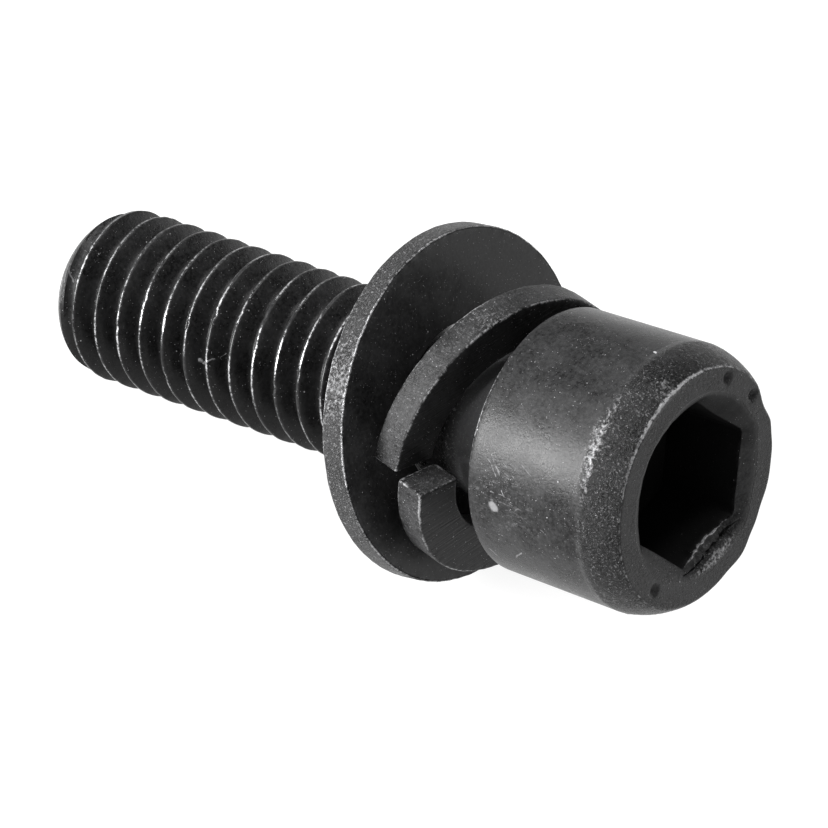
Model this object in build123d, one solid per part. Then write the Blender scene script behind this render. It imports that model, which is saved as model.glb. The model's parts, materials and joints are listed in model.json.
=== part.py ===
from build123d import *
import math
import os

# Socket head cap screw with two captive washers, lying on a level surface: it
# rests on the flat washer's rim and on a thread crest near the tip, so its head
# is raised a little. Lengths are in millimetres and angles in degrees. Each piece
# is drawn about the screw's own axis, which is Z there: the head's bearing face is
# at station 0, the head is above it and the shank below. X there is the side of
# the screw that faces up when it lies.

# Head
head_height = 6.0
head_base_diameter = 9.14
head_shoulder_diameter = 9.32
head_shoulder_station = 4.8
head_face_diameter = 8.28
head_bevel_bulge = 0.08
head_edge_chamfer = 0.12
underhead_chamfer = 0.3

# Hexagon socket
socket_across_flats = 5.06
socket_depth = 3.2
socket_mouth_diameter = 6.56
socket_mouth_slope = 18.0
socket_floor_slope = 30.0
socket_corner_angle = 39.0

# Shank and thread
shank_length = 19.9
neck_diameter = 5.2
neck_length = 5.2
thread_diameter = 6.0
thread_pitch = 1.0
thread_depth_share = 0.613
thread_crest_share = 0.125
thread_flank_slope = 30.0
tip_chamfer_length = 0.68
tip_chamfer_depth = 0.8
tip_crest_distance = 0.66
envelope_clearance = 0.05

# Flat washer
flat_washer_diameter = 12.14
flat_washer_bore = 5.7
flat_washer_thickness = 0.9
flat_washer_rounding = 0.08
flat_washer_station = -4.7
flat_washer_lean = 7.2
seat_gap = 0.04

# Spring lock washer, one left-handed turn cut from a bar of rectangular section
lock_washer_diameter = 10.0
lock_bar_width = 1.67
lock_bar_thickness = 1.12
lock_bar_rounding = 0.1
lock_washer_lead = 1.26
lock_washer_turn = 357.9
lock_washer_station = -3.02
lock_washer_rise = 0.11
lock_washer_shift = -0.11
lock_washer_end_angle = 78.8
lock_washer_lean = 13.4
lock_washer_lean_angle = 131.6

thread_radius = thread_diameter / 2
thread_root_radius = thread_radius - thread_depth_share * thread_pitch
neck_radius = neck_diameter / 2
flat_washer_radius = flat_washer_diameter / 2


def cone_length(larger, smaller, slope):
    """Axial length of a cone between two diameters, its wall at slope degrees to a cross section."""
    return (larger - smaller) / 2 * math.tan(math.radians(slope))


def head_and_neck():
    """Head with its rounded bevel, and the plain neck that the washers turn on."""
    head_base_radius = head_base_diameter / 2
    bevel_foot = (head_shoulder_diameter / 2, head_shoulder_station)
    bevel_rim = (head_face_diameter / 2, head_height)
    with BuildPart() as turned:
        with BuildSketch(Plane.XZ):
            with BuildLine():
                Polyline(
                    (0, head_height),
                    (0, -neck_length),
                    (neck_radius, -neck_length),
                    (neck_radius, -underhead_chamfer),
                    (neck_radius + underhead_chamfer, 0),
                    (head_base_radius - head_edge_chamfer, 0),
                    (head_base_radius, head_edge_chamfer),
                    bevel_foot,
                )
                SagittaArc(bevel_foot, bevel_rim, -head_bevel_bulge)
                Line(bevel_rim, (0, head_height))
            make_face()
        revolve(axis=Axis.Z)
    return turned.part


def socket():
    """Hexagon socket with a conical mouth and the conical floor that its pilot drill leaves."""
    hexagon = RegularPolygon(socket_across_flats / 2, 6, major_radius=False)
    side = Pos(0, 0, head_height - socket_depth) * Rot(0, 0, socket_corner_angle) * hexagon
    wall = extrude(side, socket_depth, dir=(0, 0, 1))
    mouth_depth = cone_length(socket_mouth_diameter, socket_across_flats, socket_mouth_slope)
    mouth = Cone(
        socket_across_flats / 2,
        socket_mouth_diameter / 2,
        mouth_depth,
        align=(Align.CENTER, Align.CENTER, Align.MAX),
    )
    floor_depth = cone_length(socket_across_flats, 0, socket_floor_slope)
    floor = Cone(0, socket_across_flats / 2, floor_depth, align=(Align.CENTER, Align.CENTER, Align.MAX))
    return wall + Pos(0, 0, head_height) * mouth + Pos(0, 0, head_height - socket_depth) * floor


def thread_profile():
    """One pitch of the thread along its axis, as radii and heights: root, flank, crest and flank."""
    crest_width = thread_crest_share * thread_pitch
    flank_height = (thread_radius - thread_root_radius) * math.tan(math.radians(thread_flank_slope))
    root_width = thread_pitch - crest_width - 2 * flank_height
    crest_start = root_width + flank_height
    return [
        (thread_root_radius, 0),
        (thread_root_radius, root_width),
        (thread_radius, crest_start),
        (thread_radius, crest_start + crest_width),
        (thread_root_radius, thread_pitch),
    ]


def helix_turn(radius, station):
    """One right-handed turn that starts at a station on the upper side."""
    return Pos(0, 0, station) * Edge.make_helix(thread_pitch, thread_pitch, radius)


def turn_faces(station):
    """Root, flanks and crest of one turn."""
    rails = [helix_turn(radius, station + height) for radius, height in thread_profile()]
    return [Face.make_surface_from_curves(lower, upper) for lower, upper in zip(rails[:-1], rails[1:])]


def end_faces(station):
    """Ramp that closes an end of the turns, and the step between the ramp's start and its finish."""
    axis = Edge.make_line((0, 0, station), (0, 0, station + thread_pitch))
    ramp = Face.make_surface_from_curves(axis, helix_turn(thread_root_radius, station))
    profile = [(radius, 0, station + height) for radius, height in thread_profile()]
    step = Wire.make_polygon([(0, 0, station), *profile, (0, 0, station + thread_pitch)], close=True)
    return [ramp, Face(step)]


def endless_thread():
    """Right-handed thread that runs past both ends of the threaded length, in phase with the tip's crest."""
    crest_station = -shank_length + tip_crest_distance
    upper_crest_station = crest_station - thread_pitch / 2
    crest_middle = (thread_profile()[2][1] + thread_profile()[3][1]) / 2
    foot = upper_crest_station - crest_middle
    foot -= thread_pitch * math.ceil((foot + shank_length) / thread_pitch + 1)
    turns = math.ceil((-neck_length - foot) / thread_pitch) + 1
    faces = end_faces(foot) + end_faces(foot + turns * thread_pitch)
    for turn in range(turns):
        faces += turn_faces(foot + turn * thread_pitch)
    return Solid(Shell(faces))


def thread_envelope():
    """Threaded length between the chamfered tip and the shoulder at the neck, just clear of the crests."""
    outside = thread_radius + envelope_clearance
    chamfer_run = tip_chamfer_length * (tip_chamfer_depth + envelope_clearance) / tip_chamfer_depth
    outline = Polygon(
        (0, -shank_length),
        (thread_radius - tip_chamfer_depth, -shank_length),
        (outside, -shank_length + chamfer_run),
        (outside, -neck_length - outside + neck_radius),
        (neck_radius, -neck_length),
        (0, -neck_length),
        align=None,
    )
    return revolve(Plane.XZ * outline, Axis.Z).solid()


def cap_screw():
    return head_and_neck() + (endless_thread() & thread_envelope()) - socket()


def flat_washer_plane():
    """Centre and tilt of the flat washer's thread side, as it leans back with the neck in its bore."""
    lean = math.radians(flat_washer_lean)
    bore_reach = flat_washer_bore / 2 * math.cos(lean) - flat_washer_thickness * math.sin(lean)
    rise = bore_reach - neck_radius - seat_gap
    axis = (math.sin(lean), 0, math.cos(lean))
    across = (math.cos(lean), 0, -math.sin(lean))
    return Plane(origin=(rise, 0, flat_washer_station), x_dir=across, z_dir=axis)


def flat_washer():
    bottom = (Align.CENTER, Align.CENTER, Align.MIN)
    disc = Cylinder(flat_washer_radius, flat_washer_thickness, align=bottom)
    disc = fillet(disc.edges().filter_by(GeomType.CIRCLE), flat_washer_rounding)
    bore = Cylinder(flat_washer_bore / 2, flat_washer_thickness, align=bottom)
    return flat_washer_plane().location * (disc - bore)


def spring_lock_washer():
    """One turn of bar that climbs towards the head as it goes clockwise, seen from the head."""
    bar_radius = (lock_washer_diameter - lock_bar_width) / 2
    rise = lock_washer_lead * lock_washer_turn / 360
    bar_path = Helix(lock_washer_lead, rise, bar_radius, lefthand=True)
    section_plane = Plane(origin=bar_path @ 0, x_dir=(1, 0, 0), z_dir=(0, -1, 0))
    section = section_plane * RectangleRounded(lock_bar_width, lock_bar_thickness, lock_bar_rounding)
    ring = Pos(0, 0, lock_bar_thickness / 2) * sweep(section, path=bar_path, is_frenet=True)
    ring = Rot(0, 0, lock_washer_end_angle - lock_washer_lean_angle) * ring
    lean = Rot(0, 0, lock_washer_lean_angle) * Rot(0, lock_washer_lean, 0)
    return Pos(lock_washer_rise, lock_washer_shift, lock_washer_station) * lean * ring


def lying_plane():
    """The screw's own frame as it lies: the angle at which washer rim and thread are level."""
    washer = flat_washer_plane()
    edge = flat_washer_radius - flat_washer_rounding
    rounding_centre = washer.from_local_coords((-edge, 0, flat_washer_rounding))
    crest_station = -shank_length + tip_chamfer_length
    run = rounding_centre.Z - crest_station
    drop = -rounding_centre.X - thread_radius
    lean = math.atan2(drop, run) + math.asin(flat_washer_rounding / math.hypot(run, drop))
    return Plane(
        origin=(0, 0, 0),
        x_dir=(-math.sin(lean), 0, math.cos(lean)),
        z_dir=(math.cos(lean), 0, math.sin(lean)),
    )


def lie_down(pieces):
    """Turns the pieces from the screw's own frame onto the surface, with the origin under their middle."""
    lying = {name: lying_plane().location * piece for name, piece in pieces.items()}
    boxes = [piece.bounding_box() for piece in lying.values()]
    low = [min(tuple(box.min)[side] for box in boxes) for side in range(3)]
    high = [max(tuple(box.max)[side] for box in boxes) for side in range(3)]
    to_origin = Pos(-(low[0] + high[0]) / 2, -(low[1] + high[1]) / 2, -low[2])
    return {name: to_origin * piece for name, piece in lying.items()}


def main():
    pieces = {
        "cap_screw": cap_screw(),
        "spring_lock_washer": spring_lock_washer(),
        "flat_washer": flat_washer(),
    }
    os.makedirs("parts", exist_ok=True)
    for name, piece in lie_down(pieces).items():
        export_step(piece, f"parts/{name}.step")


main()
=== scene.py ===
import json
import math

import bmesh
import bpy
import numpy as np
from mathutils import Matrix, Vector


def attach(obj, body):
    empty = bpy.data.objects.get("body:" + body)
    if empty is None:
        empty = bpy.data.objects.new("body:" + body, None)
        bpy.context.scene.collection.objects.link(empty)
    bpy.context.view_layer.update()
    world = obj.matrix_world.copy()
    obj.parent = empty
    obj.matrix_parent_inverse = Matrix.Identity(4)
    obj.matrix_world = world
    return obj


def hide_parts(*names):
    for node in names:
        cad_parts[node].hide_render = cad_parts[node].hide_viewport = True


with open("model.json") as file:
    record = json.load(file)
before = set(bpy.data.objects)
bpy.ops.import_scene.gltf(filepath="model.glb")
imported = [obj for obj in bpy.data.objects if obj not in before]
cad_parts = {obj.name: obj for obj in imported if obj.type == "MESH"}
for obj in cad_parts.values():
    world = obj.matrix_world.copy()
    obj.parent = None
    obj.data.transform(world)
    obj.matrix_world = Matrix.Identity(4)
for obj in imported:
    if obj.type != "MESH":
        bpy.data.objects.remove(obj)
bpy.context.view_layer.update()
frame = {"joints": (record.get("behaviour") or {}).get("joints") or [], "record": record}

# Lengths are in millimetres in the screw's own frame, where z is the station along its
# axis (0 at the head's bearing face, positive towards the head), x is the side that faces
# up and y = z cross x. Angles are in degrees and go round the axis from x.
MM = 0.001
MERGE_DISTANCE = 2e-7
SHARP_ANGLE = 40

# Head and socket
HEAD_HEIGHT = 6.0
HEAD_BASE_RADIUS = 4.57
SHOULDER_RADIUS, SHOULDER_STATION = 4.657, 4.8
FACE_RADIUS = 4.14
BEVEL_BULGE = 0.08
MOUTH_RADIUS = 3.28
SOCKET_APOTHEM = 2.53
SOCKET_CORNER_RADIUS = 2.88
LIP_STATION = 5.8
SOCKET_FLOOR = 2.8
SOCKET_FLOOR_SLOPE = math.tan(math.radians(30))
CORNER_ANGLE = 39.0
HEAD_EDGE_RADIUS, HEAD_EDGE_CHAMFER = 0.035, 0.12
FILLET_RADIUS = 0.3

# Neck and thread; the thread's own shares are of its pitch
NECK_RADIUS = 2.6
NECK_END = -5.2
THREAD_RADIUS = 3.0
THREAD_PITCH = 1.0
THREAD_DEPTH_SHARE, ROOT_FILLET_SHARE, FLANK_END_SHARE = 0.6134, 0.1443, 0.375
CREST_HALF_SHARE = 1 / 16
CREST_EDGE, CREST_EDGE_DROP = (0.03, 0.0625), 0.012
THREAD_TURNS = 19
THREAD_RUNOUT = 0.55
CREST_AT_180 = -19.24
TIP_STATION = -19.9
TIP_RADIUS = 2.2
TIP_ROUNDING, TIP_ROUNDNESS = 1.6, 2.6
TIP_UNDERSIDE = 0.17

# Washers: sizes, the distances over which an edge or a rim begins, and how far it is worn
# back. The flat washer's are from its axis and its thread side, the lock washer's from the
# middle of its bar.
WASHER_RADIUS, WASHER_BORE_RADIUS, WASHER_THICKNESS, WASHER_ROUNDING = 6.07, 2.85, 0.9, 0.08
WASHER_OUTER, WASHER_RIM = (5.75, 5.95), (5.94, 6.02)
WASHER_TOP, WASHER_BOTTOM = (0.6, 0.85), (0.3, 0.05)
WASHER_RIM_INSET, WASHER_EDGE_INSET = 0.016, 0.012
LOCK_RADIUS, LOCK_WIDTH, LOCK_THICKNESS, LOCK_ROUNDING = 5.0, 1.67, 1.12, 0.1
LOCK_OUTER, LOCK_RIM, LOCK_TOP = (0.3, 0.79), (0.75, 0.82), (0.3, 0.56)
LOCK_RIM_INSET, LOCK_EDGE_INSET = 0.009, 0.015
LOCK_LEAD, LOCK_TURN = 1.26, 357.9
LOCK_CENTRE = (0.11, -0.11, -3.02)
LOCK_END_ANGLE, LOCK_LEAN, LOCK_LEAN_ANGLE = 78.8, 13.4, 131.6

# Points round each piece, and the places of the rows between two edges, from 0 to 1
HEAD_COLUMNS, THREAD_COLUMNS, WASHER_COLUMNS, LOCK_SECTIONS = 480, 240, 420, 300
# Steps of an outline round a corner, along its width and along its height
WASHER_STEPS, LOCK_STEPS = (4, 22, 12), (4, 16, 12)
FLOOR_ROWS, BEVEL_ROWS = 6, 22
WALL_SHARES = (0, 0.15, 0.35, 0.55, 0.7, 0.8, 0.86, 0.91, 0.95, 0.98, 1)
MOUTH_SHARES = (0.06, 0.15, 0.3, 0.38, 0.44, 0.47, 0.5, 0.53, 0.56, 0.62, 0.7, 0.8, 0.9, 1.0)
FACE_SHARES = (0.04, 0.1, 0.2, 0.32, 0.44, 0.56, 0.68, 0.8, 0.88, 0.93, 0.97, 1.0)
SIDE_SHARES = (0.012, 0.03, 0.06, 0.1, 0.2, 0.32, 0.44, 0.56, 0.68, 0.8, 0.9, 0.96, 1.0)
UNDERSIDE_RADII = (4.0, 3.4, 2.9)
FILLET_TURNS = (22.5, 45, 67.5, 90)
NECK_STATIONS = (-0.6, -1.2, -2, -3, -4, -5)
TIP_FACE_SHARES = np.array((1.0, 0.94, 0.7, 0.4, 0.0))
TIP_FACE_DEPTHS = np.array((0.0, 0.0, 0.05, 0.09, 0.1))
# Distances from the crest's middle, in pitches
THREAD_PHASES = np.array((-0.5, -0.42, -0.34, -0.2, -0.08, -0.045, 0.0, 0.045, 0.08, 0.2, 0.34, 0.42))
# Size of the lock washer's section near an end, and how far it stands back there
END_SCALES = np.array((1.0, 0.99, 0.965, 0.92, 0.75, 0.5, 0.25, 0.0))
END_DEPTHS = np.array((0.08, 0.035, 0.01, 0.0, 0.0, 0.0, 0.0, 0.0))

# Smooth noises round the axis: size, seed, lowest and highest order
CREST_WOBBLE, CREST_RAGGED, CREST_WEAR = (0.012, 11, 2, 7), (0.005, 12, 20, 40), (0.3, 13, 3, 9)
BURR_NOISE, CRACK_NOISE, MOUTH_NOISE = (0.03, 21, 9, 40), (0.03, 26, 12, 50), (0.012, 23, 5, 40)
LIP_WOBBLE, LIP_RAGGED = (0.012, 25, 4, 30), (0.6, 24, 8, 60)
RIM_NOISE, RIM_WEAR, SHOULDER_NOISE = (0.012, 31, 3, 30), (0.3, 71, 6, 70), (0.03, 70, 8, 70)
BEVEL_SEED, BEVEL_ORDERS, BEVEL_ROUGHNESS = 40, (30, 110), 0.005
TORN_SEED, TORN_ORDERS, TORN_ROUGHNESS = 300, (12, 90), 0.045
WASHER_WOBBLE, WASHER_RAGGED, WASHER_WEAR = (0.008, 51, 2, 9), (0.005, 52, 20, 90), (0.35, 55, 3, 16)
WASHER_HEAD_EDGE, WASHER_LOW_EDGE = (0.012, 53, 4, 70), (0.012, 54, 4, 40)
LOCK_SIDE, LOCK_EDGE = (1, 61, 3, 60), (1, 62, 5, 90)
LOCK_WEAR, LOCK_END_WEAR = (0.4, 63, 4, 24), (0.2, 64, 2, 9)

# Places round the axis: middle angle and half width
# Painted highlights go to the places named _LIT and to BEVEL_SPARKLE; painted shade goes to the mouth's
# shaded places.
UNDERSIDE = (180, 55)
THREAD_LIT, THREAD_GRAINY = (50, 80), (345, 95)
MOUTH_SHADED, MOUTH_SHADED_CORNER, MOUTH_GRAINY = (30, 100), (300, 50), (135, 45)
TEAR, HOLE_IN_CRACK = (186, 31), (203, 9)
RIM_LIT, RIM_CHIPPED = (10, 70), (8, 42)
BEVEL_LIT, BEVEL_SPARKLE = (8, 26), (8, 22)
SIDE_LIT, WASHER_RIM_LIT, LOCK_RIM_LIT = (44, 38), (52, 34), (8, 30)

# Dents and drops round the head: size, middle angle and half width
MOUTH_DENTS = ((0.15, 276, 14), (0.24, 215, 24), (0.10, 192, 20))
RIM_DENTS = ((0.15, 282, 13), (0.07, 228, 13), (-0.10, 204, 12))
LIP_DROPS = ((0.75, 35, 85), (0.35, 310, 36))
CRACK_ANGLES, CRACK_RADII = (150, 164, 176, 184, 204, 215), (3.12, 3.08, 2.96, 2.80, 2.80, 2.60)
FACE_DIMPLES = ((3.76, 321.8), (3.77, 294.3), (3.61, 129.4))
DIMPLE_RADIUS, DIMPLE_DEPTH = 0.30, 0.17

NICKS = (
    # station, angle, depth, width along the crest
    (-13.60, 52.3, 0.07, 5.0), (-12.68, 40.0, 0.10, 4.0), (-10.36, 31.5, 0.05, 4.0),
    (-11.75, 33.5, 0.05, 3.0), (-10.67, 50.6, 0.06, 4.0), (-8.59, 60.0, 0.05, 5.0),
    (-15.40, 45.0, 0.05, 3.0), (-9.60, 74.0, 0.04, 4.0), (-16.50, 70.0, 0.04, 4.0),
    (-7.55, 92.0, 0.05, 4.0), (-14.50, 95.0, 0.04, 5.0), (-17.40, 150.0, 0.05, 4.0),
    (-12.00, 200.0, 0.06, 5.0), (-9.00, 240.0, 0.05, 4.0), (-15.00, 290.0, 0.06, 5.0),
)
SCREW_MARKS = (
    # (station, angle) of both ends, half width, strength
    ((1.10, 82.0), (1.15, 82.8), 0.20, 0.36), ((0.50, 57.5), (1.05, 66.0), 0.022, 0.26),
    ((1.05, 66.0), (1.60, 76.0), 0.03, 0.32), ((1.00, 75.5), (1.95, 76.0), 0.022, 0.24),
    ((0.90, 60.0), (1.45, 70.0), 0.025, 0.24), ((1.45, 62.0), (1.95, 66.5), 0.022, 0.22),
    ((0.40, 108.5), (0.60, 113.1), 0.03, 0.25), ((1.60, 108.0), (1.95, 103.0), 0.04, 0.25),
    ((4.50, 352.5), (4.56, 352.5), 0.06, 0.8), ((2.9, 84.0), (3.3, 87.0), 0.02, 0.22),
    ((1.7, 58.0), (2.6, 63.0), 0.02, 0.2), ((-13.20, 76.6), (-13.02, 81.0), 0.08, 0.9),
    ((-13.02, 81.0), (-12.96, 84.6), 0.07, 0.8), ((-12.75, 77.0), (-12.50, 71.0), 0.035, 0.4),
    ((-12.50, 71.0), (-12.14, 65.7), 0.03, 0.35), ((-19.3, 44.0), (-19.05, 50.0), 0.04, 0.16),
    ((-19.5, 40.0), (-19.35, 52.0), 0.03, 0.2), ((-19.0, 48.0), (-18.8, 58.0), 0.03, 0.2),
)

# Materials: grey levels; noises as cells a millimetre, detail and roughness; dust as cells a
# millimetre, size of a dot in its cell and share of the cells that have one
# The darkest grey here paints shade into the socket and the mouth.
# The grey for grain above 1 paints light onto the neck next to the head.
BARE_STEEL, GLINT_STEEL, PAINTED_LIGHT_GREY, DEEP_GRAIN, PAINTED_SHADE_GREY = 0.42, 0.34, 0.12, 0.003, 0.0015
CLOUD, FINE, POWDER = (0.8, 5.0, 0.6), (7.0, 4.0, 0.7), (13.0, 3.0, 0.75)
DUST = ((3.2, 0.12, 0.45), (8.0, 0.17, 0.42), (15.0, 0.24, 0.38))
GRIND_TURN, GRIND_GRAIN = (0, 0, 40), (14.0, 0.8, 1.0)

# Scratches: bends of the strokes as cells a millimetre and width; the patch of hairlines as
# its middle's radius, angle and station, the distances over which it fades, the directions
# and grain of its stretched noises, and a line's half width in those
BEND_SCALE, BEND_REACH = 2.2, 0.22
HAIRLINE_MIDDLE, HAIRLINE_FADE = (4.6, 76.0, 1.5), (0.5, 2.0)
HAIRLINE_TURNS = ((0, 35, 20), (0, -40, 65))
HAIRLINE_GRAIN, HAIRLINE_WIDTH = (2.4, 2.4, 0.5), 0.011

# Camera: the screw's axis and a direction across it as the camera sees them (x right,
# y down, z away), the turn from that direction to the side that faces up, and where the
# bearing face's middle is
VIEW_AXIS = np.array((0.7770, 0.2659, -0.5705))
VIEW_ACROSS = np.array((0.3238, -0.9461, 0.0))
VIEW_CENTRE = np.array((4.602, 0.838, 260.0))
UP_TURN = 44.07
FOCAL_PIXELS, IMAGE_PIXELS, SENSOR = 7836.0, 828.0, 36.0
CLIP_START, CLIP_END = 0.01, 10

# Floor and lamps, in metres
FLOOR_RADIUS, FLOOR_SEGMENTS, FLOOR_DROP = 3.0, 96, 0.00002
FLOOR_ALBEDO, FLOOR_GLOW, ROOM_GLOW = 0.2, 0.89, 0.30
LAMP_TARGET, LAMP_DISTANCE = (0, 0, 0.006), 0.5
LAMPS = (
    # name, direction as the camera sees it, side, radiance
    ("key_lamp", (-0.94, -0.08, -0.33), 0.20, 54.0),
    ("side_lamp", (-0.80, -0.50, -0.33), 0.30, 5.0),
    ("top_lamp", (0.20, -0.88, -0.42), 0.20, 16.0),
)

mounts = {mount["name"]: mount for mount in frame["record"]["mounts"]}
joints = {joint["name"]: joint for joint in frame["joints"]}
screw_axis = np.array(mounts["hex_drive"]["axis"], float)
bearing_centre = np.array(mounts["hex_drive"]["pos_m"], float) - screw_axis * HEAD_HEIGHT * MM


def axes_about(axis):
    """Rows: the direction nearest to up that is square to an axis, its side, and the axis."""
    up = np.array((-axis[2], 0.0, axis[0]))
    up /= np.linalg.norm(up)
    return np.array((up, np.cross(axis, up), axis))


screw_rows = axes_about(screw_axis)
head_angles = CORNER_ANGLE + 360 / HEAD_COLUMNS * np.arange(HEAD_COLUMNS)
thread_angles = head_angles[::2]


def to_world(points):
    return bearing_centre + (points @ screw_rows) * MM


def polar(radius, angle, station):
    """Points from radii, angles and stations."""
    turn = np.radians(angle)
    radius, turn, station = np.broadcast_arrays(radius, turn, station)
    return np.stack((radius * np.cos(turn), radius * np.sin(turn), station), axis=-1)


def smooth_step(low, high, value):
    share = np.clip((value - low) / (high - low), 0, 1)
    return share * share * (3 - 2 * share)


def bump_round(angle, middle, half_width):
    """1 at an angle and 0 from half_width degrees away."""
    off = np.abs((angle - middle + 180) % 360 - 180)
    return 1 - smooth_step(0, half_width, off)


def bumps_round(angle, bumps, start=0.0):
    """A number with bumps of several sizes, middles and half widths added to it."""
    return sum((size * bump_round(angle, middle, half_width) for size, middle, half_width in bumps), start)


def waves(angle, noise, station=0.0):
    """Smooth noise that closes round the axis, mostly within its size: a sum of a few waves."""
    size, seed, lowest, highest = noise
    draw = np.random.default_rng(seed)
    total = 0.0
    orders = range(lowest, highest + 1)
    for order in orders:
        total = total + draw.uniform(0.3, 1) * np.sin(
            np.radians(order * angle) + draw.uniform(0, 2 * math.pi) + station * draw.uniform(-2, 2)
        )
    mean_amplitude, peak = 0.65, 1.4
    return size * (total / (mean_amplitude * math.sqrt(len(orders)) * peak))


def strip_faces(rows, columns, start=0, closed=True):
    """Quads of a grid whose rows run round the axis."""
    last = columns if closed else columns - 1
    row, column = np.meshgrid(np.arange(rows - 1), np.arange(last), indexing="ij")
    following = (column + 1) % columns
    corners = (row * columns + column, row * columns + following,
               (row + 1) * columns + following, (row + 1) * columns + column)
    return (np.stack(corners, axis=-1).reshape(-1, 4) + start).tolist()


def halving_faces(fine_start, coarse_start, coarse_columns):
    """Faces between a ring and a ring of half as many points."""
    faces = []
    for column in range(coarse_columns):
        following = (column + 1) % coarse_columns
        left, right = fine_start + 2 * column, fine_start + 2 * following
        low, high = coarse_start + column, coarse_start + following
        faces += [(left, left + 1, low), (left + 1, right, high, low)]
    return faces


def make_piece(name, points, faces, wear_and_painted_light, grain, body, node, material):
    """A mesh piece that replaces a CAD node. The bare-steel value runs from -1, painted shade, to 1, bare
    steel; it holds rubbed edges and painted highlights.

    grain is 0 on smooth steel, 1 on rough steel and more where light is painted on, mostly on the neck next
    to the head.
    """
    mesh = bpy.data.meshes.new(name)
    mesh.from_pydata(to_world(points), [], faces)
    for title, values in (("wear_and_painted_light", wear_and_painted_light), ("grain", grain)):
        layer = mesh.attributes.new(title, "FLOAT", "POINT")
        layer.data.foreach_set("value", np.asarray(values, np.float32).ravel())
    layer = mesh.attributes.new("local", "FLOAT_VECTOR", "POINT")
    layer.data.foreach_set("vector", np.asarray(points, np.float32).ravel())
    work = bmesh.new()
    work.from_mesh(mesh)
    bmesh.ops.remove_doubles(work, verts=work.verts, dist=MERGE_DISTANCE)
    bmesh.ops.dissolve_degenerate(work, dist=MERGE_DISTANCE, edges=work.edges)
    bmesh.ops.recalc_face_normals(work, faces=work.faces)
    for face in work.faces:
        face.smooth = True
    work.to_mesh(mesh)
    work.free()
    mesh.set_sharp_from_angle(angle=math.radians(SHARP_ANGLE))
    piece = bpy.data.objects.new(name, mesh)
    bpy.context.scene.collection.objects.link(piece)
    mesh.materials.append(material)
    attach(piece, body)
    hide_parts(node)


def hexagon_radius(angle):
    """Distance from the axis to the socket's wall, whose corners are a little rounded."""
    flat = SOCKET_APOTHEM / np.cos(np.radians((angle - CORNER_ANGLE) % 60 - 30))
    return np.minimum(flat, SOCKET_CORNER_RADIUS)


def thread_form(height):
    """Radius of the thread at a distance along the axis from the nearest crest's middle."""
    off = np.abs(height)
    flank = THREAD_RADIUS - (off - THREAD_PITCH * CREST_HALF_SHARE) * math.sqrt(3)
    fillet = THREAD_PITCH * ROOT_FILLET_SHARE
    middle = THREAD_RADIUS - THREAD_DEPTH_SHARE * THREAD_PITCH + fillet
    root = middle - np.sqrt(np.maximum(fillet ** 2 - (THREAD_PITCH / 2 - off) ** 2, 0))
    radius = np.where(off > THREAD_PITCH * FLANK_END_SHARE, root, flank)
    crest = THREAD_RADIUS - CREST_EDGE_DROP * smooth_step(*CREST_EDGE, off)
    return np.minimum(radius, crest)


def near_tip(radius, angle, station):
    """Radius of the thread with its shallow last turn and the rounded tip that it runs out on."""
    from_tip = station - TIP_STATION
    shallow = 0.5 + 0.5 * smooth_step(0.5, 1.4, from_tip)
    rounding = 1 - np.clip(1 - from_tip / TIP_ROUNDING, 0, 1) ** TIP_ROUNDNESS
    underside = TIP_UNDERSIDE * bump_round(angle, *UNDERSIDE) * smooth_step(0, 0.5, from_tip)
    envelope = TIP_RADIUS + (THREAD_RADIUS - TIP_RADIUS) * rounding + underside
    envelope = np.where(from_tip < TIP_ROUNDING, envelope, THREAD_RADIUS)
    return np.minimum(envelope, THREAD_RADIUS - (THREAD_RADIUS - radius) * shallow)


def nicked(radius, angle, station, height):
    """The thread's radius with the nicks in its crests."""
    for spot, middle, depth, width in NICKS:
        near = 1 - smooth_step(0.25, 0.5, np.abs(station - spot) / THREAD_PITCH)
        radius = radius - depth * near * bump_round(angle, middle, width) * (np.abs(height) < 0.2)
    return radius


def thread_rows():
    """Helical rows between the neck and the tip; beyond both ends they lie on the end's own circle."""
    turns = math.floor(TIP_STATION - CREST_AT_180) - 3 + np.arange(THREAD_TURNS)
    offsets = np.append(turns[:, None] + THREAD_PHASES, turns[-1] + 0.5)[:, None]
    height = np.append(np.tile(THREAD_PHASES, THREAD_TURNS), -0.5)[:, None]
    angle = np.concatenate((thread_angles, [thread_angles[0] + 360]))[None, :]
    station = CREST_AT_180 + THREAD_PITCH * (offsets + (angle - 180) / 360)
    wobble = waves(angle, CREST_WOBBLE, station) + waves(angle, CREST_RAGGED, station * 3)
    radius = thread_form(height * THREAD_PITCH) + wobble * (np.abs(height) < 0.3)
    radius = nicked(radius, angle, station, height)
    station = np.clip(station, TIP_STATION, NECK_END)
    radius = near_tip(radius, angle, station)
    radius = radius + (NECK_RADIUS - radius) * smooth_step(NECK_END - THREAD_RUNOUT, NECK_END, station)
    on_crest = np.clip(1.0 - np.abs(height) / 0.065, 0, 1) * (station > TIP_STATION + 0.3)
    wear_and_painted_light = np.broadcast_to(on_crest, station.shape) * (0.41 + waves(angle, CREST_WEAR, station))
    # Painted highlight: the crests are lighter on their lit side.
    crest_painted_highlight = 0.55 + 0.45 * bump_round(angle, *THREAD_LIT)
    grain = 0.14 + 0.46 * bump_round(angle, *THREAD_GRAINY) + 0.5 * (station < TIP_STATION + 0.55)
    return polar(radius, angle, station), np.clip(wear_and_painted_light * crest_painted_highlight, 0, 1), grain


# The rows below are of radius, station, the value for rubbed edges, painted highlights and painted shade,
# and grain, each one number or one for each angle. They run from the middle of the socket's floor over
# the head to the neck's end.

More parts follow.
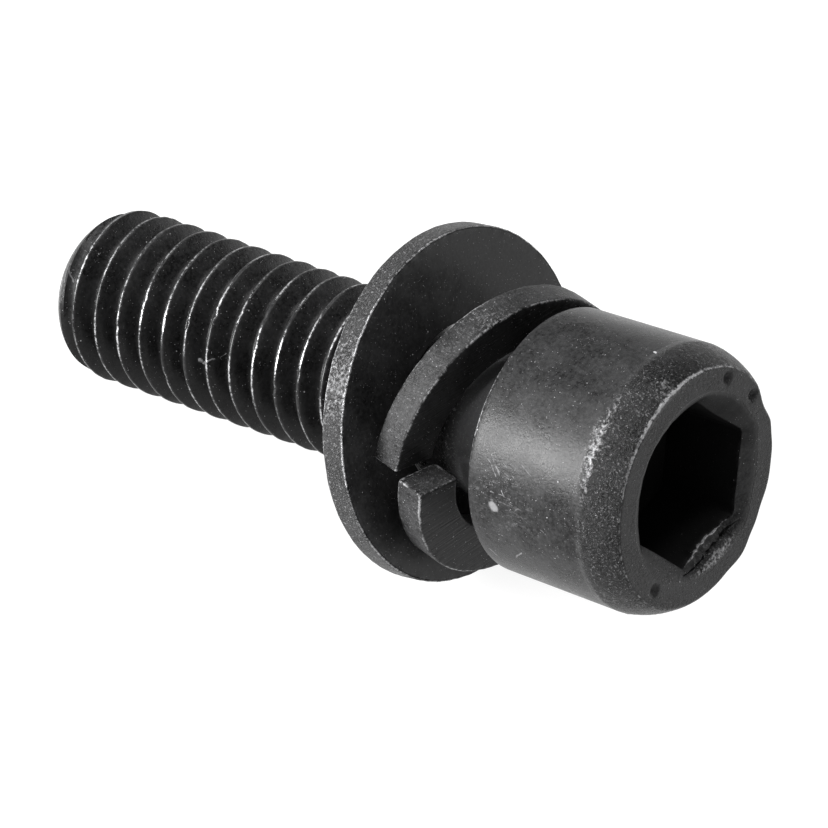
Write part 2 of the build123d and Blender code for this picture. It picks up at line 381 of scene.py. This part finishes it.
def floor_rows():
    """The socket's conical floor."""
    rows = []
    for share in np.linspace(0, 1, FLOOR_ROWS):
        radius = SOCKET_APOTHEM * share
        # The floor's value of -1 paints it in full shade.
        rows.append((radius, SOCKET_FLOOR - (SOCKET_APOTHEM - radius) * SOCKET_FLOOR_SLOPE, -1, 0.2))
    return rows


def wall_rows(wall, lip, torn, burr, mouth_painted_shade):
    """The socket's walls, in painted shade but for the lip's burr."""
    rows = []
    for share in WALL_SHARES:
        inward = burr * smooth_step(0.80, 0.97, share)
        edge = smooth_step(0.93, 1, share)
        station = SOCKET_FLOOR + (lip - SOCKET_FLOOR) * share
        painted_shade = (1 - smooth_step(0.95, 1, share) * (1 - mouth_painted_shade)) * (1 - torn * edge)
        rows.append((wall - inward, station, 0.8 * edge * torn - painted_shade, 0.25 + 0.5 * torn * edge))
    return rows


def mouth_radius(angle):
    return bumps_round(angle, MOUTH_DENTS, MOUTH_RADIUS) + waves(angle, MOUTH_NOISE)


def mouth_rows(angle, inner, lip, torn, mouth_painted_shade):
    """The conical mouth. A share of a half is the crack along its torn side."""
    crack = np.interp(angle % 360, CRACK_ANGLES, CRACK_RADII)
    crack = np.maximum(crack, inner + 0.12) + waves(angle, CRACK_NOISE)
    outer = mouth_radius(angle)
    hole = bump_round(angle, *HOLE_IN_CRACK)
    grainy = 0.4 * bump_round(angle, *MOUTH_GRAINY)
    rows = []
    for share in MOUTH_SHARES:
        beyond = share > 0.5
        plain = inner + (outer - inner) * share
        if share < 0.5:
            bent = inner + (crack - inner) * share / 0.5
        else:
            bent = crack + (outer - crack) * (share - 0.5) / 0.5
        radius = plain + (bent - plain) * torn
        rise = math.sin(math.pi / 2 * share) ** 1.2
        depth, width = 0.42 + 0.4 * hole, 0.05 + 0.06 * hole
        groove = depth * np.exp(-((share - 0.5) / width) ** 2)
        ragged = waves(angle, (TORN_ROUGHNESS, TORN_SEED + round(share * 100), *TORN_ORDERS))
        rough = ragged * math.sin(math.pi * min(share * 1.1, 1))
        station = lip + (HEAD_HEIGHT - lip) * rise + torn * (rough - groove)
        bared = smooth_step(0.56, 0.7, share) + 0.7 * (share < 0.4)
        bared = bared * (1 - smooth_step(0.9, 1.0, share) * 0.5)
        # The mouth's painted shade darkens all but its outer rows.
        wear_and_painted_light = (0.36 if beyond else 0.18) * torn * bared - mouth_painted_shade * (1 - smooth_step(0.75, 1, share))
        grain = 0.45 + (0.45 if beyond else 0.15) * torn + grainy * (1 - torn)
        rows.append((radius, station, wear_and_painted_light, grain))
    return rows


def socket_rows(angle):
    wall = hexagon_radius(angle)
    torn = bump_round(angle, *TEAR) ** 0.5
    burr = torn * (0.10 + waves(angle, BURR_NOISE))
    # Painted shade over the mouth on one side and in one corner.
    shaded = bump_round(angle, *MOUTH_SHADED)
    mouth_painted_shade = 0.95 * shaded ** 0.5 + 0.5 * bump_round(angle, *MOUTH_SHADED_CORNER) * (1 - shaded)
    lip = LIP_STATION - bumps_round(angle, LIP_DROPS)
    lip = lip - 0.08 * torn * (1 + waves(angle, LIP_RAGGED)) + waves(angle, LIP_WOBBLE)
    walls = wall_rows(wall, lip, torn, burr, mouth_painted_shade)
    return floor_rows() + walls + mouth_rows(angle, wall - burr, lip, torn, mouth_painted_shade)


def face_rows(angle, rim):
    """The flat face out to its rim, which is rubbed and chipped."""
    mouth = mouth_radius(angle)
    rows = []
    for share in FACE_SHARES:
        edge = smooth_step(0.93, 1, share)
        chipped = 0.36 * smooth_step(0.78, 0.98, share) * bump_round(angle, *RIM_CHIPPED)
        wear_and_painted_light = (0.8 + waves(angle, RIM_WEAR)) * edge + chipped
        rows.append((mouth + (rim - mouth) * share, HEAD_HEIGHT - 0.02 * edge, wear_and_painted_light, 0.64 + chipped))
    return rows


def bevel_rows(angle, rim):
    """The bulged and rough bevel between the face and the shoulder."""
    run = SHOULDER_RADIUS - FACE_RADIUS
    drop = SHOULDER_STATION - HEAD_HEIGHT
    length = math.hypot(run, drop)
    rows = []
    for row in range(1, BEVEL_ROWS + 1):
        share = row / BEVEL_ROWS
        bulge = BEVEL_BULGE * 4 * share * (1 - share)
        rough = BEVEL_ROUGHNESS * (waves(angle, (1, BEVEL_SEED + row, *BEVEL_ORDERS)) - 1)
        dent = (rim - FACE_RADIUS) * (1 - share)
        radius = FACE_RADIUS + run * share - bulge * drop / length + dent + rough
        shoulder = waves(angle, SHOULDER_NOISE) * smooth_step(0.8, 1, share)
        station = HEAD_HEIGHT + drop * share + bulge * run / length + shoulder
        wear_and_painted_light = 0.15 * smooth_step(0.35, 0.9, share) + 0.22 * smooth_step(0.88, 0.98, share)
        wear_and_painted_light = wear_and_painted_light + smooth_step(0.09, 0, share)
        # Painted glint on the bevel's lit side.
        sparkle = 0.22 * bump_round(angle, *BEVEL_SPARKLE) * (1 - smooth_step(0.3, 0.75, share))
        rows.append((radius, station, wear_and_painted_light + sparkle, 1 - 0.1 * share))
    return rows


def side_rows(angle):
    """The head's tapered side, from the rubbed shoulder to the chamfer at the bearing face."""
    rows = []
    for share in SIDE_SHARES:
        radius = SHOULDER_RADIUS + (HEAD_BASE_RADIUS - SHOULDER_RADIUS) * share
        station = SHOULDER_STATION + (HEAD_EDGE_CHAMFER - SHOULDER_STATION) * share
        station = station + waves(angle, SHOULDER_NOISE) * smooth_step(0.03, 0, share)
        wear_and_painted_light = 0.16 * smooth_step(0.03, 0, share) + 0.26 * smooth_step(0.18, 0, share)
        rows.append((radius, station, wear_and_painted_light, 0.44 + 0.5 * smooth_step(0.07, 0, share)))
    return rows


def neck_rows():
    """The head's lower edge and bearing face, the fillet below it, and the neck."""
    rows = [
        (HEAD_BASE_RADIUS - HEAD_EDGE_RADIUS, HEAD_EDGE_RADIUS, 0.5, 0.3),
        (HEAD_BASE_RADIUS - HEAD_EDGE_CHAMFER, 0.0, 0.1, 0.3),
    ]
    rows += [(radius, 0.0, 0, 0.3) for radius in UNDERSIDE_RADII]
    for turn in np.radians(FILLET_TURNS):
        radius = NECK_RADIUS + FILLET_RADIUS * (1 - math.sin(turn))
        rows.append((radius, -FILLET_RADIUS * (1 - math.cos(turn)), 0, 0.2))
    # Grain 1.9 next to the head paints light onto the neck.
    rows += [(NECK_RADIUS, station, 0, 1.9 if station > -2.5 else 0.5) for station in NECK_STATIONS]
    return rows


def head_rows(angle):
    rim = FACE_RADIUS + waves(angle, RIM_NOISE) - bumps_round(angle, RIM_DENTS)
    return face_rows(angle, rim) + bevel_rows(angle, rim) + side_rows(angle) + neck_rows()


def wear_and_painted_highlight(radius, station, wear_and_painted_light):
    """Scales the head's rubbed edges into a painted highlight: strong on the side that faces the camera and
    faint elsewhere.
    """
    on_rim = station > HEAD_HEIGHT - 0.2
    on_bevel = (station > SHOULDER_STATION + 0.3) & ~on_rim
    rim_painted_highlight = 0.35 + 0.65 * bump_round(head_angles, *RIM_LIT)
    side_painted_highlight = 0.10 + 0.90 * bump_round(head_angles, *SIDE_LIT)
    painted_highlight = np.where(on_rim & (radius > 3.9), rim_painted_highlight, side_painted_highlight)
    painted_highlight = np.where(on_bevel, np.maximum(painted_highlight, bump_round(head_angles, *BEVEL_LIT)), painted_highlight)
    in_socket = on_rim & (radius < 3.75) | (radius < 3) | (wear_and_painted_light < 0)
    return np.where(in_socket, wear_and_painted_light, wear_and_painted_light * painted_highlight)


def dimpled(points):
    """The head's points with three plain punch dots in the face."""
    for distance, angle in FACE_DIMPLES:
        centre = polar(np.array(distance), np.array(angle), np.array(HEAD_HEIGHT))
        off = np.linalg.norm(points - centre, axis=-1)
        points[..., 2] -= DIMPLE_DEPTH * (1 - smooth_step(0, DIMPLE_RADIUS, off))
    return points


def build_screw(material):
    rows = socket_rows(head_angles) + head_rows(head_angles)
    radius, station, wear_and_painted_light, grain = (
        np.array([row[part] + 0 * head_angles for row in rows]) for part in range(4))
    head = dimpled(polar(radius, head_angles, station))
    wear_and_painted_light = wear_and_painted_highlight(radius, station, wear_and_painted_light)
    collar = polar(NECK_RADIUS, thread_angles, NECK_END)
    thread, thread_wear_and_painted_light, thread_grain = thread_rows()
    tip_radii = TIP_RADIUS * TIP_FACE_SHARES
    tip = polar(tip_radii[:, None], thread_angles[None, :], (TIP_STATION + TIP_FACE_DEPTHS)[:, None])

    collar_start = len(rows) * HEAD_COLUMNS
    thread_start = collar_start + THREAD_COLUMNS
    tip_start = thread_start + thread_wear_and_painted_light.size
    faces = strip_faces(len(rows), HEAD_COLUMNS)
    faces += halving_faces(collar_start - HEAD_COLUMNS, collar_start, THREAD_COLUMNS)
    faces += strip_faces(thread.shape[0], THREAD_COLUMNS + 1, thread_start, closed=False)
    faces += strip_faces(len(TIP_FACE_SHARES), THREAD_COLUMNS, tip_start)

    points = np.concatenate([part.reshape(-1, 3) for part in (head, collar, thread, tip)])
    smooth = np.zeros(THREAD_COLUMNS)
    flat = np.zeros(tip.size // 3)
    wear_and_painted_light = np.concatenate((wear_and_painted_light.ravel(), smooth, thread_wear_and_painted_light.ravel(), flat))
    grain = np.concatenate((grain.ravel(), smooth + 0.15, thread_grain.ravel(), flat + 0.6))
    make_piece("screw_surface", points, faces, wear_and_painted_light, grain, "screw", "cap_screw", material)


def rounded_outline(width, height, rounding, corner_steps, width_steps, height_steps):
    """Closed outline of a rectangle round 0, 0, each point with its corner and how near it is to it."""
    points, corners = [], []
    signs = ((1, 1), (-1, 1), (-1, -1), (1, -1))
    for index, (right, top) in enumerate(signs):
        centre = np.array((right * (width / 2 - rounding), top * (height / 2 - rounding)))
        for step in range(corner_steps + 1):
            turn = math.radians(90 * (index + step / corner_steps))
            points.append(centre + rounding * np.array((math.cos(turn), math.sin(turn))))
            corners.append((index, 1.0 - abs(2 * step / corner_steps - 1)))
        following = signs[(index + 1) % 4]
        end = np.array((following[0] * (width / 2 - rounding), following[1] * (height / 2 - rounding)))
        turn = math.radians(90 * (index + 1))
        shift = rounding * np.array((math.cos(turn), math.sin(turn)))
        steps = width_steps if index % 2 == 0 else height_steps
        for step in range(1, steps):
            points.append(centre + shift + (end - centre) * step / steps)
            corners.append((index, 0.0))
    return np.array(points), corners


def corner_wear(corners, upper_outer, lower_outer, inner):
    """Wear of an outline's points, by how near each is to an outer or inner corner."""
    levels = (upper_outer, inner, inner, lower_outer)
    return np.array([share * levels[corner] for corner, share in corners])[:, None]


def build_flat_washer(material):
    spin = joints["flat_washer_spin"]
    rows = axes_about(np.array(spin["axis"], float)) @ screw_rows.T
    centre = (np.array(spin["pos_m"], float) - bearing_centre) @ screw_rows.T / MM
    width = WASHER_RADIUS - WASHER_BORE_RADIUS
    outline, corners = rounded_outline(width, WASHER_THICKNESS, WASHER_ROUNDING, *WASHER_STEPS)
    angle = 360 / WASHER_COLUMNS * np.arange(WASHER_COLUMNS)
    radius = (WASHER_RADIUS + WASHER_BORE_RADIUS) / 2 + outline[:, 0][:, None] + 0 * angle
    height = WASHER_THICKNESS / 2 + outline[:, 1][:, None] + 0 * angle
    outer = smooth_step(*WASHER_OUTER, radius)
    rough = WASHER_RIM_INSET + waves(angle, WASHER_WOBBLE) + waves(angle, WASHER_RAGGED)
    radius = radius - outer * rough
    head_edge = outer * smooth_step(*WASHER_TOP, height)
    height = height - head_edge * (WASHER_EDGE_INSET + waves(angle, WASHER_HEAD_EDGE))
    low_edge = outer * smooth_step(*WASHER_BOTTOM, height)
    height = height + low_edge * (WASHER_EDGE_INSET + waves(angle, WASHER_LOW_EDGE))
    points = centre + polar(radius, angle, height) @ rows

    on_rim = smooth_step(*WASHER_RIM, radius)
    wear_and_painted_light = corner_wear(corners, 0.74, 0.4, 0.15) * (0.75 + waves(angle, WASHER_WEAR))
    # Painted highlight on the lit part of the rim.
    wear_and_painted_light = wear_and_painted_light + 0.24 * on_rim * bump_round(angle, *WASHER_RIM_LIT)
    grain = 0.25 + 0.75 * on_rim
    points, wear_and_painted_light, grain = (np.concatenate((values, values[:1])) for values in (points, wear_and_painted_light, grain))
    faces = strip_faces(len(outline) + 1, WASHER_COLUMNS)
    make_piece("flat_washer_surface", points.reshape(-1, 3), faces, np.clip(wear_and_painted_light, 0, 1), grain,
               "washer", "flat_washer", material)


def turn_about(axis, degrees):
    return np.array(Matrix.Rotation(math.radians(degrees), 3, axis))


def lock_sections(bar_radius):
    """Angle along the bar and size of each section, with those that close its rounded ends."""
    along = np.linspace(0, LOCK_TURN, LOCK_SECTIONS)[1:-1]
    first = np.zeros(len(END_SCALES))
    turn = np.concatenate((first, along, first + LOCK_TURN))
    scale = np.concatenate((END_SCALES[::-1], np.ones(len(along)), END_SCALES))
    push = np.concatenate((END_DEPTHS[::-1], np.zeros(len(along)), -END_DEPTHS))
    return turn + push * 360 / (2 * math.pi * bar_radius), scale


def lock_wear_and_painted_highlight(corners, turn, scale, up, on_rim):
    """Wear along the bar's corners and round its two ends, and a painted highlight on the part of the rim
    that faces the camera.
    """
    by_corner = corner_wear(corners, 0.55, 0.35, 0.3)
    end_rim = (scale > 0.9) * (scale < 0.995)
    near_end = (0.32 + waves(turn + 57 * up, LOCK_END_WEAR)) * end_rim
    from_end = np.minimum(turn, LOCK_TURN - turn)
    near_end = near_end + 0.6 * np.clip(1.0 - from_end / 0.9, 0, 1) * (scale == 1)
    wear_and_painted_light = by_corner * (scale > 0.97) * (0.6 + waves(turn, LOCK_WEAR)) + 0.8 * near_end
    # Painted highlight on the lit part of the rim.
    wear_and_painted_light = wear_and_painted_light + 0.16 * on_rim * bump_round(LOCK_END_ANGLE - turn, *LOCK_RIM_LIT)
    return wear_and_painted_light + 0.5 * by_corner * smooth_step(LOCK_TURN - 50, LOCK_TURN - 5, turn) * (scale == 1)


def build_lock_washer(material):
    outline, corners = rounded_outline(LOCK_WIDTH, LOCK_THICKNESS, LOCK_ROUNDING, *LOCK_STEPS)
    bar_radius = LOCK_RADIUS - LOCK_WIDTH / 2
    turn, scale = lock_sections(bar_radius)
    across = outline[:, 0][:, None] * scale
    up = outline[:, 1][:, None] * scale
    outer = smooth_step(*LOCK_OUTER, across)
    radius = bar_radius + across - outer * LOCK_RIM_INSET * (1 + waves(turn, LOCK_SIDE))
    height = LOCK_LEAD * turn / 360 + LOCK_THICKNESS / 2 + up
    edge = outer * smooth_step(*LOCK_TOP, up)
    height = height - edge * LOCK_EDGE_INSET * (1 + waves(turn, LOCK_EDGE))
    lean = turn_about("Z", LOCK_LEAN_ANGLE) @ turn_about("Y", LOCK_LEAN)
    placed = turn_about("Z", LOCK_END_ANGLE - LOCK_LEAN_ANGLE)
    points = polar(radius, -turn, height) @ (lean @ placed).T + np.array(LOCK_CENTRE)

    on_rim = smooth_step(*LOCK_RIM, across)
    wear_and_painted_light = np.clip(lock_wear_and_painted_highlight(corners, turn, scale, up, on_rim).T, -1, 1)
    grain = np.clip((0.2 + 0.55 * on_rim + 0.6 * (scale < 0.97)).T, 0, 1)
    points = points.transpose(1, 0, 2).reshape(-1, 3)
    faces = strip_faces(len(turn), len(outline))
    make_piece("lock_washer_surface", points, faces, wear_and_painted_light, grain,
               "lock_washer", "spring_lock_washer", material)


class Shading:
    """A node tree that is built from the surface's own coordinates in millimetres."""

    def __init__(self, name):
        self.material = bpy.data.materials.new(name)
        self.material.use_nodes = True
        self.tree = self.material.node_tree
        self.tree.nodes.clear()
        self.shader = self.node("ShaderNodeBsdfPrincipled")
        output = self.node("ShaderNodeOutputMaterial")
        self.tree.links.new(self.shader.outputs["BSDF"], output.inputs["Surface"])

    def put(self, socket, value):
        """Links a socket, or sets its constant."""
        if isinstance(value, bpy.types.NodeSocket):
            self.tree.links.new(value, socket)
        else:
            socket.default_value = value

    def node(self, kind, inputs=None, **settings):
        made = self.tree.nodes.new(kind)
        for key, value in settings.items():
            setattr(made, key, value)
        for socket, value in (inputs or {}).items():
            self.put(made.inputs[socket], value)
        return made

    def surface(self, **inputs):
        for title, value in inputs.items():
            self.put(self.shader.inputs[title.replace("_", " ")], value)

    def attribute(self, name):
        made = self.node("ShaderNodeAttribute", attribute_name=name)
        return made.outputs["Vector" if name == "local" else "Fac"]

    def math(self, operation, first, second=0.0, third=None, clamp=False):
        inputs = {0: first, 1: second}
        if third is not None:
            inputs[2] = third
        return self.node("ShaderNodeMath", inputs, operation=operation, use_clamp=clamp).outputs[0]

    def vector(self, operation, *inputs, output="Vector"):
        return self.node("ShaderNodeVectorMath", dict(enumerate(inputs)), operation=operation).outputs[output]

    def scaled(self, place, scale):
        inputs = {0: place, "Scale": scale}
        return self.node("ShaderNodeVectorMath", inputs, operation="SCALE").outputs["Vector"]

    def noise(self, place, scale, detail, roughness=0.5, output="Fac"):
        inputs = {"Vector": place, "Scale": scale, "Detail": detail, "Roughness": roughness}
        return self.node("ShaderNodeTexNoise", inputs).outputs[output]

    def range(self, value, low, high, to_low=0.0, to_high=1.0):
        inputs = {"Value": value, "From Min": low, "From Max": high, "To Min": to_low, "To Max": to_high}
        return self.node("ShaderNodeMapRange", inputs, clamp=True).outputs["Result"]

    def stretch(self, place, turn, scale):
        inputs = {"Vector": place, "Rotation": tuple(math.radians(value) for value in turn), "Scale": scale}
        return self.node("ShaderNodeMapping", inputs).outputs["Vector"]

    def mix(self, factor, first, second):
        made = self.node("ShaderNodeMix", data_type="RGBA")
        for index, value in ((0, factor), (6, first), (7, second)):
            self.put(made.inputs[index], value)
        return made.outputs[2]

    def specks(self, place, scale, size, share):
        """Sparse dots, size across in cells, in a share of the cells."""
        cells = self.node("ShaderNodeTexVoronoi", {"Vector": place, "Scale": scale})
        draw = self.node("ShaderNodeSeparateColor", {"Color": cells.outputs["Color"]})
        reach = self.range(draw.outputs["Red"], 1 - share, 1, 0, size)
        return self.range(self.math("SUBTRACT", reach, cells.outputs["Distance"]), 0, size * 0.4)

    def stroke(self, place, noise, start, end, width, strength):
        """A broken line of a half width between two points: a scratch, a fibre or a chip."""
        start, end = np.array(start), np.array(end)
        along = end - start
        from_start = self.vector("SUBTRACT", place, tuple(start))
        share = self.vector("DOT_PRODUCT", from_start, tuple(along / (along @ along)), output="Value")
        share = self.math("ADD", share, 0.0, clamp=True)
        nearest = self.scaled(tuple(along), share)
        off = self.vector("LENGTH", self.vector("SUBTRACT", from_start, nearest), output="Value")
        ragged = 1.2 if width < 0.15 else 0.5
        reach = self.math("MULTIPLY_ADD", noise, ragged * width, (1 - ragged / 2) * width)
        return self.range(self.math("SUBTRACT", reach, off), 0, width * 0.4, 0, strength)

    def hairlines(self, place, noise):
        """A patch of faint scratches: thin contours of stretched noises."""
        middle = tuple(polar(*HAIRLINE_MIDDLE).tolist())
        off = self.vector("LENGTH", self.vector("SUBTRACT", place, middle), output="Value")
        near = self.range(off, *HAIRLINE_FADE, 1, 0)
        for turn in HAIRLINE_TURNS:
            drawn = self.noise(self.stretch(place, turn, HAIRLINE_GRAIN), 1.0, 2.0)
            drawn = self.math("ABSOLUTE", self.math("SUBTRACT", drawn, 0.5))
            line = self.range(drawn, 0, HAIRLINE_WIDTH, 1, 0)
            line = self.math("MULTIPLY", line, self.range(noise, 0.42, 0.62, 0, 0.2))
            yield self.math("MULTIPLY", line, near)

    def marks(self, place, noise, strokes):
        """Strokes that are a little bent, and the hairlines."""
        bend = self.scaled(self.noise(place, BEND_SCALE, 3.0, output="Color"), BEND_REACH)
        bent = self.vector("ADD", self.vector("ADD", place, bend), (-BEND_REACH / 2,) * 3)
        for start, end, width, strength in strokes:
            yield self.stroke(bent, noise, start, end, width, strength)
        yield from self.hairlines(place, noise)


def grey(value):
    return (value, value, value * 1.02, 1)


def black_oxide(name, dark, pale, roughness, specular, grain_height, dust, strokes=(), grind=0.0):
    """Blackened steel: cloudy tone, grain with painted glints where the surface is rough, dust specks, bright
    rubbed edges and painted highlights, and painted shade.
    """
    s = Shading(name)
    place, grain, wear_and_painted_light = (s.attribute(title) for title in ("local", "grain", "wear_and_painted_light"))
    cloud, fine, powder = (s.noise(place, *noise) for noise in (CLOUD, FINE, POWDER))
    grainy = s.math("POWER", grain, 3.0)

    tone = s.math("ADD", s.range(cloud, 0.35, 0.65, 0, 0.6), s.range(fine, 0.4, 0.7, 0, 0.7))
    tone = s.math("MULTIPLY", tone, s.range(grain, 0.1, 0.6, 0.3, 1.0))
    base = s.mix(tone, grey(dark), grey(pale))
    base = s.mix(s.math("MULTIPLY", grainy, 0.5, clamp=True), base, grey(DEEP_GRAIN))
    glint = s.math("MULTIPLY", s.range(powder, 0.57, 0.68), grainy)
    base = s.mix(s.math("MULTIPLY", glint, 0.5), base, grey(GLINT_STEEL))
    # Painted light: grain above 1 lightens the steel, mostly on the neck next to the head.
    base = s.mix(s.range(grain, 1, 2), base, grey(PAINTED_LIGHT_GREY))

    broken = s.math("ADD", fine, s.math("MULTIPLY", powder, 0.6))
    # Bare steel on rubbed edges, and painted highlights where the mesh raises this value on the lit side.
    edge = s.math("MULTIPLY", wear_and_painted_light, s.range(broken, 0.62, 0.98, 0.2, 2.2))
    edge = s.range(edge, 0.22, 0.85)
    base = s.mix(edge, base, grey(BARE_STEEL))

    dots = s.specks(place, *DUST[0])
    for cells, size, share in DUST[1:]:
        dots = s.math("MAXIMUM", dots, s.specks(place, cells, size, share))
    dots = s.math("MULTIPLY", dots, dust)
    if strokes:
        for mark in s.marks(place, fine, strokes):
            dots = s.math("MAXIMUM", dots, mark)
    base = s.mix(dots, base, grey(BARE_STEEL))

    # Painted shade: negative values darken towards near black and roughen the surface.
    painted_shade = s.range(wear_and_painted_light, 0, -1)
    base = s.mix(s.math("MULTIPLY", painted_shade, 0.9), base, grey(PAINTED_SHADE_GREY))
    rough = s.range(cloud, 0.3, 0.7, roughness - 0.07, roughness + 0.07)
    rough = s.math("ADD", rough, s.math("MULTIPLY", painted_shade, 0.4))
    rough = s.math("ADD", rough, s.range(fine, 0.3, 0.7, -0.05, 0.05))

    coarse = s.range(s.math("POWER", grain, 2.5), 0, 1, 0.02, 1)
    coarse = s.math("MULTIPLY", coarse, s.range(grain, 1, 1.4, 1, 0.02))
    height = s.math("MULTIPLY", s.math("ADD", powder, s.math("MULTIPLY", fine, 1.2)), coarse)
    height = s.math("ADD", height, s.math("MULTIPLY", dots, 0.3))
    if grind:
        lines = s.noise(s.stretch(place, GRIND_TURN, GRIND_GRAIN), 1.0, 2.0)
        height = s.math("ADD", height, s.math("MULTIPLY", lines, grind))
    bump = s.node("ShaderNodeBump", {"Height": height, "Strength": 1.0, "Distance": grain_height * MM})

    s.surface(Base_Color=base, Roughness=rough, Metallic=s.math("MULTIPLY", edge, 0.6),
              Specular_IOR_Level=specular, Normal=bump.outputs["Normal"])
    return s.material


def on_screw(station, angle):
    """A point of the head's side or of the thread."""
    slope = (SHOULDER_RADIUS - HEAD_BASE_RADIUS) / SHOULDER_STATION
    radius = HEAD_BASE_RADIUS + slope * station
    if station < 0:
        turns = (station - CREST_AT_180) / THREAD_PITCH - (angle - 180) / 360
        radius = near_tip(thread_form(((turns + 0.5) % 1 - 0.5) * THREAD_PITCH), angle, station)
    return tuple(polar(radius, angle, station).tolist())


def view_rotation():
    """Turns the camera's x right, y down and z away into the frame of the object."""
    axis = VIEW_AXIS / np.linalg.norm(VIEW_AXIS)
    across = VIEW_ACROSS - axis * (VIEW_ACROSS @ axis)
    across /= np.linalg.norm(across)
    beside = np.cross(axis, across)
    turn = math.radians(UP_TURN)
    up = math.cos(turn) * across + math.sin(turn) * beside
    side = math.cos(turn) * beside - math.sin(turn) * across
    return screw_rows.T @ np.array((up, side, axis))


def place_camera(rotation):
    camera = bpy.data.cameras.new("camera")
    camera.sensor_width = SENSOR
    camera.lens = FOCAL_PIXELS / IMAGE_PIXELS * SENSOR
    camera.clip_start, camera.clip_end = CLIP_START, CLIP_END
    eye = bpy.data.objects.new("camera", camera)
    bpy.context.scene.collection.objects.link(eye)
    matrix = np.eye(4)
    matrix[:3, :3] = rotation @ np.diag((1, -1, -1))
    matrix[:3, 3] = bearing_centre - rotation @ VIEW_CENTRE * MM
    eye.matrix_world = Matrix(matrix.tolist())
    bpy.context.scene.camera = eye


def build_lamp(name, direction, side, radiance):
    """A square lamp that faces the object's middle, with its brightness in watts a steradian and area."""
    lamp = bpy.data.lights.new(name, "AREA")
    lamp.shape = "RECTANGLE"
    lamp.size, lamp.size_y = side, side
    lamp.energy = radiance * math.pi * side * side
    holder = bpy.data.objects.new(name, lamp)
    bpy.context.scene.collection.objects.link(holder)
    away = Vector(direction).normalized()
    holder.location = Vector(LAMP_TARGET) + away * LAMP_DISTANCE
    holder.rotation_euler = away.to_track_quat("Z", "Y").to_euler()


def floor_paper():
    s = Shading("floor_paper")
    s.surface(Base_Color=(FLOOR_ALBEDO, FLOOR_ALBEDO, FLOOR_ALBEDO, 1), Roughness=0.9,
              Specular_IOR_Level=0.1, Emission_Color=(1, 1, 1, 1), Emission_Strength=FLOOR_GLOW)
    return s.material


def build_stage():
    """A pale table that glows a little, in a dim even room."""
    mesh = bpy.data.meshes.new("floor")
    work = bmesh.new()
    bmesh.ops.create_circle(work, cap_ends=True, segments=FLOOR_SEGMENTS, radius=FLOOR_RADIUS)
    work.to_mesh(mesh)
    work.free()
    floor = bpy.data.objects.new("floor", mesh)
    floor.location.z = -FLOOR_DROP
    mesh.materials.append(floor_paper())
    bpy.context.scene.collection.objects.link(floor)
    world = bpy.data.worlds.new("studio")
    world.use_nodes = True
    background = world.node_tree.nodes["Background"]
    background.inputs["Color"].default_value = (1, 1, 1, 1)
    background.inputs["Strength"].default_value = ROOM_GLOW
    bpy.context.scene.world = world
    bpy.context.scene.view_settings.view_transform = "Standard"


rotation = view_rotation()
place_camera(rotation)
build_stage()
for lamp_name, direction, side, radiance in LAMPS:
    build_lamp(lamp_name, rotation @ np.array(direction), side, radiance)

screw_strokes = [
    (on_screw(*first), on_screw(*last), width, strength) for first, last, width, strength in SCREW_MARKS]
build_screw(black_oxide(
    "screw_oxide", dark=0.004, pale=0.036, roughness=0.31, specular=0.13, grain_height=0.060,
    dust=0.8, strokes=screw_strokes))
build_lock_washer(black_oxide(
    "lock_washer_oxide", dark=0.006, pale=0.044, roughness=0.44, specular=0.14, grain_height=0.050,
    dust=1.0, grind=0.35))
build_flat_washer(black_oxide(
    "flat_washer_oxide", dark=0.007, pale=0.048, roughness=0.38, specular=0.24, grain_height=0.055,
    dust=0.8))
